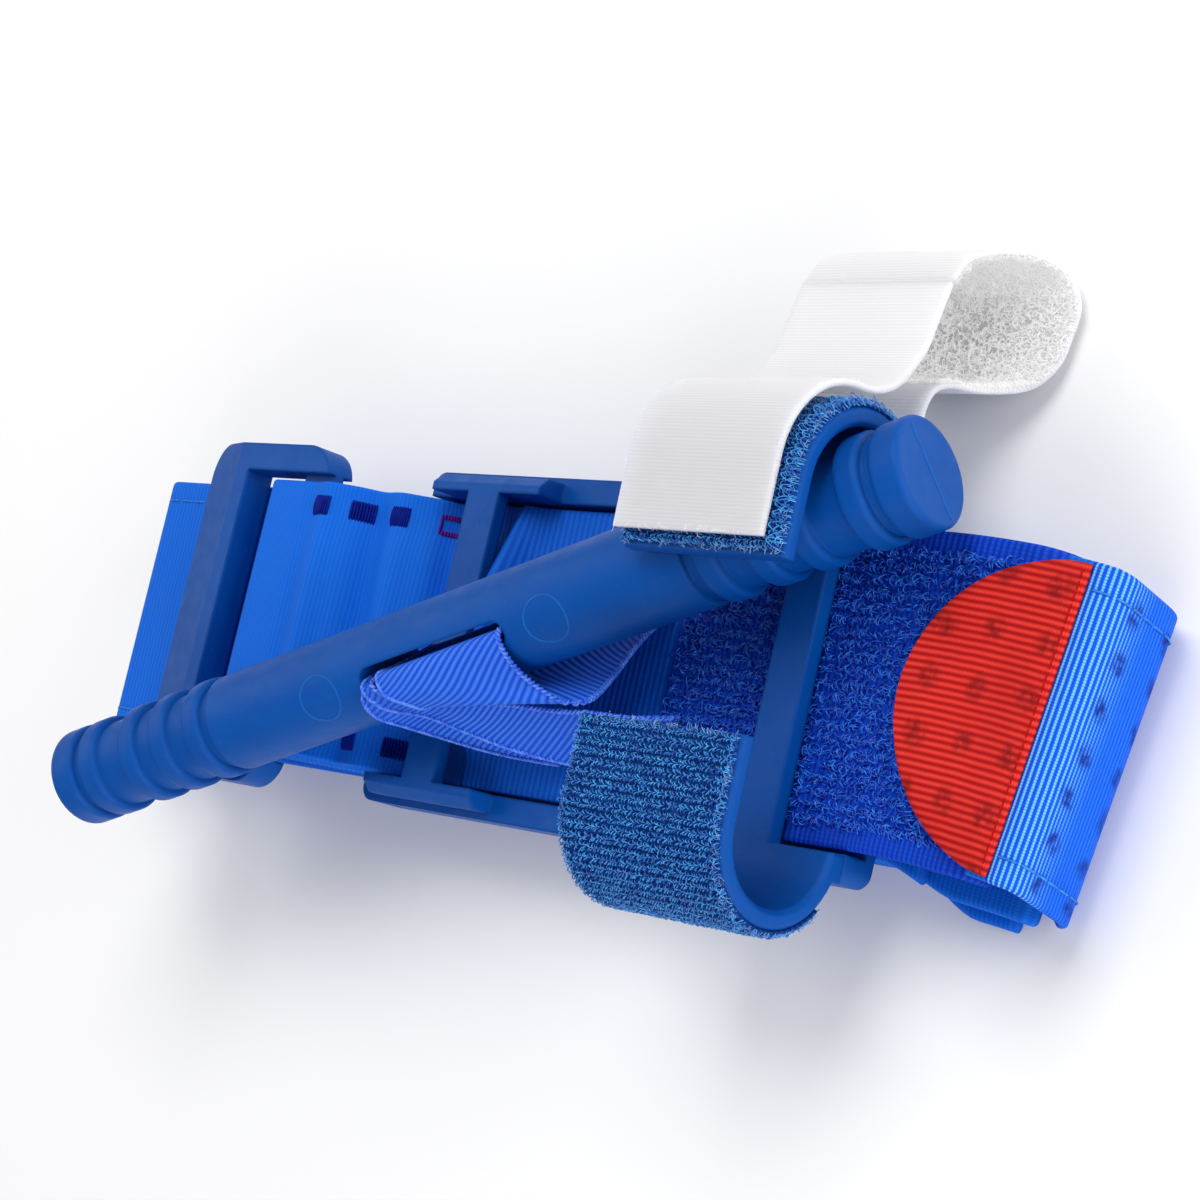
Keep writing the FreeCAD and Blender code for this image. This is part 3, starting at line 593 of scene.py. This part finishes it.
def make_buckle_sleeve():
    """The flat tube of webbing that loops round the buckle's bar and runs under the bridge."""
    path = [(-20, 10.6), (-23, 10.6), (-43, 16.6), (-54.4, 16.6), (-54.4, 20.2), (-40.6, 20.2),
            (-20, 12.6), (-9.3, 12.6)]
    line = in_xz(bent(path, [3, 6, 1.8, 1.8, 6, 6], 0.8))

    def ripple(u, v):
        """Puckers between the buckle and the bridge, drawn in along the rows of tacks."""
        start = np.clip((u - 46) / 6, 0, 1) * np.clip((86 - u) / 6, 0, 1)
        turn = (u - 50) / 2.0 + 0.03 * v
        fold = 1.4 * np.sin(turn) + 0.5 * np.sin(2 * turn + 0.8)
        pull = 0.5 * np.exp(-((np.abs(v) - TACK_Y) / 3.5) ** 2)
        return start * (fold * (0.75 + 0.25 * np.cos(v / 8)) - pull)

    grid = strip_grid(line, (0, 1, 0), BAND_WIDTH, 0.8, ripple)
    sleeve, face = cloth("buckle_sleeve_cloth", grid, 0.8, SLEEVE)
    settle(sleeve, "sleeve_webbing", "buckle_sleeve")
    rear = bartacks("bartacks_rear", face, TACK_Y, (-41.4, -35.4, -29.4), TACK)
    front = bartacks("bartacks_front", face, -TACK_Y, (-36.2, -29.5, -22.7), TACK)
    mark = bartacks("bartack_outline", face, TACK_Y, (-22.4,), TACK_RED, outline=True)
    settle(rear, "dark_thread", "sleeve_bartacks_rear")
    settle(front, "dark_thread", "sleeve_bartacks_front")
    settle(mark, "dark_thread")


def bartacks(name, surface, y, places, material, outline=False):
    """Dense squares of zigzag thread, or only a square's outline."""
    upper = surface["top"][:, 0, 0]
    late = np.argmax(lengths(surface["top"][:, 0]) > 38)    # past the buckle's bar, on the top run
    feet, forward, up, reach = [], [], [], []
    for x in places:
        for k in np.linspace(-TACK_HALF, TACK_HALF, 9):
            hollow = outline and abs(k) < 0.8 * TACK_HALF
            sides = ((-0.85 * TACK_HALF, 0.25), (0.85 * TACK_HALF, 0.25))
            for offset, half in sides if hollow else ((0.0, TACK_HALF),):
                u = np.interp(x + k, upper[late:], surface["u"][late:])
                point, normal, along = on_surface(surface, np.array([u]), np.array([y + offset]))
                feet.append(point[0])
                forward.append(np.cross(normal[0], along[0]))
                up.append(normal[0])
                reach.append(half)
    feet, forward, up = (np.array(x) for x in (feet, forward, up))
    return arcs(name, feet - 0.05 * up, forward, up, reach, 0.25, 0.42, material, steps=9)


def make_plate_sleeve():
    """The sleeve beyond the bridge: its cut end curls up beside the ribbon."""
    line = in_xz(spaced([(-8.2, 12.2), (25.5, 12.2)], 0.6))

    def curl(u, v):
        lift = 1.0 + 4.0 * np.clip((19 - v) / 11, 0, 1) * np.clip((v + 16) / 10, 0, 1)
        return lift * np.exp(-(u / 2.4) ** 2) + 0.1 * np.sin(u / 4 + 0.05 * v)

    grid = strip_grid(line, (0, 1, 0), BAND_WIDTH, 0.8, curl)
    upper, _ = cloth("plate_sleeve_cloth", grid, 0.8, SLEEVE_RIBBED)
    settle(upper, "sleeve_webbing", "clip_sleeve")
    line = in_xz(spaced([(-19.8, 10.55), (24.8, 10.55)], 2.0))
    grid = strip_grid(line, (0, 1, 0), BAND_WIDTH, 0.8)
    lining, _ = cloth("sleeve_lining_cloth", grid, 0.8, SLEEVE)
    settle(lining, "sleeve_webbing", "sleeve_lining")


# ---------------------------------------------------------------- ribbon
ROD_PIVOT = np.array([0.0, -2.2, 26.5])
ROD_AXIS = unit([0.9333, 0.3564, -0.0436])
ROD_SIDE = unit([-0.3567, 0.9342, 0.0])
ROD_TOP = np.cross(ROD_AXIS, ROD_SIDE)
ROD_BODY = 6.5
ROD_HALF = 71.95
PARTING = 33.0

# Control points of the ribbon's plies as (along the rod, degrees round it, distance from its axis),
# from the slot down. Each row runs from the ply's left selvedge to its right one.
OVER_PLY = [
    [(-9.0, 266, 12.4), (1.0, 266, 12.4), (11.6, 266, 12.4)],
    [(-9.0, 288, 8.6), (1.0, 288, 8.6), (11.8, 288, 8.6)],
    [(-9.0, 302, 6.8), (1.0, 302, 6.8), (11.8, 302, 6.8)],
    [(-9.0, 123, -2.0), (1.0, 123, -2.0), (11.8, 123, -2.0)],
    [(-9.0, 123, 3.0), (1.0, 123, 3.0), (11.8, 123, 3.0)],
    [(-9.2, 123, 6.7), (1.0, 123, 6.9), (11.9, 123, 6.8)],
    [(-8.6, 140, 7.8), (2.0, 146, 8.0), (12.0, 150, 7.8)],
    [(-6.5, 153, 8.2), (4.6, 163, 9.2), (12.8, 176, 9.2)],
    [(-4.6, 163, 8.4), (7.0, 174, 10.4), (15.6, 187, 11.8)],
    [(-4.0, 170, 7.6), (7.4, 183, 9.2), (18.2, 199, 12.2)],
    [(0.0, 212, 7.3), (9.6, 220, 8.2), (19.6, 219, 10.6)],
    [(4.5, 258, 7.5), (13.1, 250, 8.7), (21.4, 242, 9.8)],
    [(8.9, 272, 9.4), (16.5, 266, 10.2), (23.3, 262, 10.9)],
    [(14.0, 270, 12.3), (19.0, 272, 12.6), (25.0, 268, 12.8)],
]
FRONT_PLY = [
    [(-11.6, 124, 3.0), (-11.0, 124, 3.0), (-10.0, 124, 3.0)],
    [(-11.7, 128, 7.0), (-11.0, 130, 7.2), (-9.9, 130, 7.2)],
    [(-10.8, 152, 7.3), (-8.8, 154, 7.4), (-6.6, 156, 7.4)],
    [(-8.0, 171, 7.6), (-5.0, 172, 7.7), (-2.0, 171, 7.5)],
    [(-6.0, 182, 8.2), (-2.4, 182, 8.6), (1.4, 178, 8.3)],
    [(-2.3, 196, 11.0), (2.4, 193, 10.8), (7.2, 187, 9.9)],
    [(1.4, 204, 14.0), (7.0, 199, 13.0), (12.5, 193, 11.9)],
    [(5.1, 211, 17.0), (11.4, 205, 15.4), (17.5, 199, 13.6)],
    [(8.3, 215, 19.3), (15.0, 210, 17.5), (21.5, 205, 15.4)],
    [(13.4, 215, 21.6), (20.0, 216, 20.0), (25.9, 219, 18.0)],
]
UNDER_PLY = [
    [(-12.0, 127, 3.0), (-11.8, 127, 3.0), (-11.4, 127, 3.0)],
    [(-12.5, 138, 7.0), (-12.0, 140, 7.0), (-11.2, 140, 7.0)],
    [(-12.9, 163, 7.2), (-11.5, 165, 7.2), (-9.5, 165, 7.0)],
    [(-11.2, 186, 8.0), (-8.5, 187, 7.7), (-5.5, 187, 7.5)],
    [(-7.4, 201, 10.6), (-3.5, 201, 9.8), (0.5, 199, 9.0)],
    [(-2.3, 211, 14.4), (2.0, 211, 13.0), (6.5, 209, 11.6)],
    [(2.4, 217, 17.6), (7.0, 217, 16.0), (12.0, 215, 14.4)],
    [(5.0, 220, 19.3), (10.0, 220, 18.0), (16.0, 219, 16.4)],
]


def about_rod(along, degrees, distance):
    """Points in the rod's own coordinates: numbers, or arrays of one shape."""
    angle = np.radians(degrees)
    return (ROD_PIVOT + np.multiply.outer(along, ROD_AXIS)
            + np.multiply.outer(distance * np.cos(angle), ROD_SIDE)
            + np.multiply.outer(distance * np.sin(angle), ROD_TOP))


def make_mould_marks():
    """Faint rings left by ejector pins beside the slot, and the parting line across both ends."""
    turn = np.linspace(0, 2 * np.pi, 49)[:, None]
    reach = np.linspace(3.0, 3.35, 5)[None, :]
    for name, along, degrees in (("ejector_ring_left", -19.8, 125), ("ejector_ring_right", 18.8, 127)):
        around = degrees + np.degrees(reach * np.sin(turn) / ROD_BODY)
        ring = about_rod(along + reach * np.cos(turn), around, ROD_BODY)
        mark, _ = cloth(name, ring, 0.14, MARK)
        settle(mark, "moulded_plastic", body="windlass")
    across = np.linspace(-0.15, 0.15, 5)[None, :]
    run = np.linspace(-5.9, 5.9, 20)[:, None]
    for name, end in (("parting_line_left", -ROD_HALF), ("parting_line_right", ROD_HALF)):
        line = about_rod(end, PARTING, run) + about_rod(0.0, PARTING + 90, across) - ROD_PIVOT
        mark, _ = cloth(name, line, 0.2, MARK)
        settle(mark, "moulded_plastic", body="windlass")


def ribbon_ply(name, control, thick, skew):
    """A ply of ribbon with its braided selvedges, as one surface."""
    rows = smooth(np.array([[about_rod(*point) for point in row] for row in control]), 110)
    grid = np.stack([smooth(row, 30) for row in rows])
    ply, face = cloth(name, grid, thick, RIBBON, skew)
    edge = face["v"][-1] - 0.25
    u = np.arange(1.0, face["u"][-1] - 0.5, 0.55)
    feet, forward, up = [], [], []
    for side in (-1, 1):
        point, normal, along = on_surface(face, u, np.full(len(u), side * edge))
        feet.append(point - 0.5 * thick * normal)
        forward.append(along + 0.5 * side * np.cross(normal, along))
        up.append(normal)
    feet, forward, up = (np.concatenate(x) for x in (feet, forward, up))
    braid = arcs(name + "_selvedge", feet, forward, up, 0.36, 0.4, 0.42, RIBBON_EDGE, (-20, 200), steps=7)
    return ply, braid, area_of(grid)


def make_ribbons():
    """The ribbon that passes through the rod's slot, and the inner ribbon's two ends."""
    for name, left, right in (("ribbon_end_left", -19.6, -8.6), ("ribbon_end_right", -3.6, 24.0)):
        line = in_xz(spaced([(left, 11.4), (right, 11.4)], 2.0))
        end, _ = cloth(name, strip_grid(line, (0, 1, 0), 24.0, 0.4), 0.4, RIBBON)
        settle(end, "ribbon", name.replace("ribbon_end", "inner_ribbon"))
    plies = (("ribbon_over", OVER_PLY, 0.6, 0.024, "ribbon_riser_right"),
             ("ribbon_front", FRONT_PLY, 0.25, 0.018, "ribbon_riser_right"),
             ("ribbon_under", UNDER_PLY, 0.2, 0.010, "ribbon_riser_left"))
    for name, control, skew, width, node in plies:
        ply, braid, area = ribbon_ply(name, control, 0.4, skew)
        for obj in (ply, braid):
            settle_bending(obj, "ribbon", "windlass", (0, 0, 14), (0, 0, 27), node)


# ---------------------------------------------------------------- hook tape and time strap
HOOK_Y, HOOK_Z, HOOK_R = 19.7, 24.25, 10.35    # centre and outer radius of each hook's bend
TAPE_X = 45.8
STRAP_X = 44.6
HOOK_ROW = 1.2


def hook_line(radius, tip, wrap, side, step=0.8):
    """Round one hook's outside: from near the arm's tip to an angle under the bend."""
    angles = np.radians(np.linspace(90, -wrap, math.ceil(radius * math.radians(90 + wrap) / step)))
    arc = np.stack([HOOK_Y + radius * np.cos(angles), HOOK_Z + radius * np.sin(angles)], axis=1)
    arm = spaced([(tip, HOOK_Z + radius), (HOOK_Y, HOOK_Z + radius)], step)[:-1]
    line = in_yz(np.concatenate([arm, arc]), TAPE_X)
    line[:, 1] *= side
    return line


def make_hook_tape(name, node, side, tip, wrap, width, stand):
    """Hook tape round one hook; stand is the range of its edge loops' heights."""
    line = hook_line(HOOK_R + 0.25, tip, wrap, side)
    across = (-side, 0, 0)
    grid = strip_grid(line, across, width, 0.45, count=20)
    tape, face = cloth(name, grid, 0.45, HOOK_BASE)
    settle(tape, "hook_tape", node)
    run = face["u"][-1]
    rows = np.arange(0.3, run - 0.6, HOOK_ROW)
    rows = np.sort(np.concatenate([rows, rows + 0.5]))
    places = np.arange(-width / 2 + 0.2, width / 2 - 0.1, 0.44)
    turn = np.repeat(np.where(np.arange(len(rows)) % 2 == 0, 1.0, -1.0), len(places))
    u, v = (x.ravel() for x in np.meshgrid(rows, places, indexing="ij"))
    u = u + rng.normal(0, 0.07, len(u))
    v = v + rng.normal(0, 0.08, len(v))
    feet, normal, along = on_surface(face, u, v)
    lean = turn[:, None] * along + 0.8 * np.cross(normal, along)
    hooks = arcs(name + "_hooks", feet - 0.05 * normal, unit(lean + 0.3 * spun(normal)),
                 leaning(normal, 0.15), 0.3, rng.uniform(0.45, 0.65, len(feet)), 0.15, HOOKS,
                 (-10, 195), steps=6)
    settle(hooks, "hook_tape")
    loose = frayed(name + "_frays", face, width, 260)
    settle(loose, "hook_tape")
    u = np.arange(0.4, run, 0.6)
    v = np.full(len(u), -side * (width / 2 - 0.1))
    feet, normal, along = on_surface(face, u + rng.normal(0, 0.1, len(u)), v)
    outward = unit(side * np.cross(normal, along) + 0.9 * normal + 0.25 * rng.normal(size=normal.shape))
    edge = arcs(name + "_edge_loops", feet, unit(along + 0.3 * spun(normal)), outward, 0.6,
                rng.uniform(*stand, len(u)), 0.14, HOOKS, (-20, 200), steps=8)
    settle(edge, "hook_tape")


def frayed(name, surface, width, count, material=None, size=(0.3, 0.8)):
    """Stray filaments along a tape's cut edges."""
    run = surface["u"][-1]
    side = rng.choice([-1, 1], count)
    at_end = rng.random(count) < 0.4
    u = np.where(at_end, rng.uniform(0, 0.2, count), rng.uniform(0, run, count))
    v = np.where(at_end, rng.uniform(-width / 2, width / 2, count), side * (width / 2 - 0.05))
    feet, normal, along = on_surface(surface, u, v)
    return arcs(name, feet, spun(normal), leaning(normal, 0.8), rng.uniform(*size, count),
                rng.uniform(0.2, 0.6, count), 0.05, material or PALE_FIBRE, (0, 130), steps=8)


def make_time_strap():
    """The white strap over the rear hook, and its loop beyond, which hangs askew."""
    width = 23.6
    at_hinge, past_hinge = (45.8, 49.0, 13.9), (45.8, 43.0, 16.2)
    path = [(11.9, 36.25), (31.4, 36.25), (33.0, 20.0), (40.0, 16.0), (49.0, 13.9)]
    line = in_yz(bent(path, [10.9, 8.0, 6.0], 0.7), STRAP_X)
    grid = strip_grid(line, (-1, 0, 0), width, 0.9, soft_wave(8, 0.12))
    tip, face = cloth("time_strap_end", grid, 0.9, WHITE)
    settle_bending(tip, "white_loop", "strap_tip", at_hinge, past_hinge, "time_strap_tip")
    frays = frayed("time_strap_frays", face, width, 60, WHITE_NAP, (0.3, 0.9))
    settle_bending(frays, "white_loop", "strap_tip", at_hinge, past_hinge)

    # Across the band, height, and how far the loop strays along the band.
    loop = np.array([(49.0, 13.9, 0), (52.6, 12.0, 1.0), (54.6, 7.6, 4.5), (53.9, 3.2, 7.5),
                     (50.3, 1.4, 9.3), (46.2, 1.3, 9.0), (42.4, 1.7, 8.2), (39.3, 3.2, 6.0),
                     (37.6, 7.2, 3.0), (37.0, 11.2, 0.5), (34.6, 13.6, 0), (29.0, 14.15, 0),
                     (20.4, 14.15, 0)])
    curve = smooth(loop, 110)
    grid = strip_grid(in_yz(curve[:, :2], STRAP_X), (-1, 0, 0), width, 0.7)
    grid[..., 0] += curve[:, 2][:, None]
    hanging, face = cloth("time_strap_loop", grid, 0.7, WHITE)
    settle(hanging, "white_loop", "time_strap_anchor")
    inner = {**face, "top": face["top"] - 0.7 * face["facing"], "facing": -face["facing"]}
    feet, normal, _ = random_on(inner, 8000, (0, face["u"][-1] * 0.72), (-11.7, 11.7))
    size = rng.uniform(0.22, 0.5, len(feet))
    nap = arcs("time_strap_nap", feet, spun(normal), leaning(normal, 0.6), size, size * 1.3, 0.12,
               WHITE_NAP, (-20, 200), steps=6)
    settle(nap, "white_loop")


# ---------------------------------------------------------------- tail
SEAM_X = 83.4
TAIL_HALF = 18.3
TAB_STILL, TAB_MOVED = (84.8, -2, 15.7), (82.0, -2, 15.7)    # where the tab's bend starts and ends


def tail_grid(line):
    """The tail's cloth, which also leans to -Y low down."""
    grid = strip_grid(line, (0, -1, 0), 2 * TAIL_HALF, 1.1)
    low = np.clip((15.0 - grid[..., 2]) / 14.0, 0, 1) * np.clip((grid[..., 0] - 79.0) / 5.0, 0, 1)
    grid[..., 1] -= 2.6 * low
    return bend_aside(grid)


def make_tail():
    """The band's end, which comes up round the folds and lies on the pile under the tab."""
    path = [(79.0, 1.0), (86.6, 1.0), (86.6, 15.7), (SEAM_X, 15.7)]
    line = in_xz(bent(path, [5.0, 2.9], 0.6))
    turn, face = cloth("tail_turn_cloth", tail_grid(line), 1.1, TAIL)
    settle(turn, "band_webbing", "tail_turn")
    stitches = stitch_line("tail_stitches", face, 3, face["u"][-1], (-15.2, 15.2), 2.0)
    settle(stitches, "edge_thread", "tail_edge_thread")
    line = in_xz(spaced([(SEAM_X, 15.7), (80.0, 15.7)], 0.6))
    end, face = cloth("tail_end_cloth", tail_grid(line), 1.0, BAND)
    settle_bending(end, "band_webbing", "tail", TAB_STILL, TAB_MOVED, "tail_end")


def make_tab():
    """A half ellipse of red webbing, sewn over the tail's cut end."""
    length, half = 20.5, 17.8
    angles = np.radians(np.linspace(0, 90, 40))
    x = (SEAM_X + 0.1 - length * np.sin(angles))[:, None]
    reach = (half * np.cos(angles) + 0.02)[:, None]
    v = np.linspace(-1, 1, 31)[None, :]
    lift = 16.0 + 0.62 * np.clip((x - 76) / 5, 0, 1)
    plan = np.stack([x + 0 * v, -reach * v, lift + 0 * v], axis=-1)
    tab, face = cloth("red_tab_cloth", bend_aside(plan), 0.6, RED)
    # The tab's rows narrow to its tip, so its threads are laid out in plan, not along the grid.
    corner_points = np.zeros(len(tab.data.loops), int)
    tab.data.loops.foreach_get("vertex_index", corner_points)
    flat = np.tile(plan[..., :2].reshape(-1, 2), (2, 1))
    tab.data.uv_layers["cloth"].data.foreach_set("uv", flat[corner_points].ravel())
    settle_bending(tab, "red_webbing", "tail", TAB_STILL, TAB_MOVED, "red_tab")
    seam_y = np.arange(-17.3, 17.4, 1.3)
    ones = np.ones(len(seam_y))
    feet = bend_aside(np.stack([(SEAM_X - 0.5) * ones, seam_y, 16.93 * ones], axis=1))
    forward = np.tile([0.16, 1.0, 0.0], (len(seam_y), 1))
    up = np.tile([0.0, 0.0, 1.0], (len(seam_y), 1))
    seam = arcs("tab_seam", feet, forward, up, 0.45, 0.1, 0.2, RED)
    settle_bending(seam, "edge_thread", "tail", TAB_STILL, TAB_MOVED, "tab_seam_thread")


# ---------------------------------------------------------------- studio
def make_studio():
    """A pale floor, a pale sky and four soft lamps that face the origin."""
    floor_mesh = bpy.data.meshes.new("floor")
    side, level = 3.0, -0.0003
    corners = [(-side, -side, level), (side, -side, level), (side, side, level), (-side, side, level)]
    floor_mesh.from_pydata(corners, [], [(0, 1, 2, 3)])
    floor = bpy.data.objects.new("floor", floor_mesh)
    bpy.context.scene.collection.objects.link(floor)
    paper = Shader("paper", 0.9, specular=0.1)
    paper.out.inputs["Base Color"].default_value = (0.93, 0.93, 0.93, 1)
    floor_mesh.materials.append(paper.material)

    world = bpy.data.worlds.new("studio")
    world.use_nodes = True
    world.node_tree.nodes["Background"].inputs[0].default_value = (0.96, 0.97, 1.0, 1)
    world.node_tree.nodes["Background"].inputs[1].default_value = 0.40
    bpy.context.scene.world = world
    bpy.context.scene.view_settings.view_transform = "Standard"

    lights = (("key", (0.10, 0.35, 0.55), 0.40, 2.2, (1.0, 0.99, 0.97)),
              ("fill", (0.30, -0.50, 0.22), 0.45, 1.8, (0.97, 0.96, 1.0)),
              ("right", (0.52, 0.10, 0.12), 0.30, 1.4, (1.0, 1.0, 1.0)),
              ("left", (-0.45, 0.1, 0.40), 0.45, 0.9, (1.0, 1.0, 1.0)))
    for name, place, size, power, colour in lights:
        lamp = bpy.data.lights.new(name, "AREA")
        lamp.size = size
        lamp.energy = power
        lamp.color = colour
        obj = bpy.data.objects.new(name, lamp)
        obj.location = place
        obj.rotation_mode = "QUATERNION"
        obj.rotation_quaternion = (-obj.location).to_track_quat("-Z", "Y")
        bpy.context.scene.collection.objects.link(obj)


def make_camera():
    """The view is from above the tab's end, with the band's long side rolled downwards."""
    right = (0.69585, 0.22157, -0.68316)
    up = (-0.06486, 0.96672, 0.24747)
    back = (0.71525, -0.12790, 0.68706)
    lens = bpy.data.cameras.new("camera")
    lens.lens = 86.35
    lens.sensor_width = 36.0
    lens.clip_start = 0.01
    lens.clip_end = 20.0
    camera = bpy.data.objects.new("camera", lens)
    place = (0.27143, -0.03954, 0.26497)
    camera.matrix_world = Matrix([*zip(right, up, back, place), (0, 0, 0, 1)])
    bpy.context.scene.collection.objects.link(camera)
    bpy.context.scene.camera = camera


dress_plastic()
make_mould_marks()
make_band_layers()
make_pile_band()
make_buckle_sleeve()
make_plate_sleeve()
make_ribbons()
make_hook_tape("hook_tape_rear_cloth", "hook_tape_rear", 1, 10.6, 50, 24.8, (0.8, 1.9))
make_hook_tape("hook_tape_front_cloth", "hook_tape_front", -1, 10.2, 50, 24.8, (0.35, 0.8))
make_time_strap()
make_tail()
make_tab()
make_studio()
make_camera()
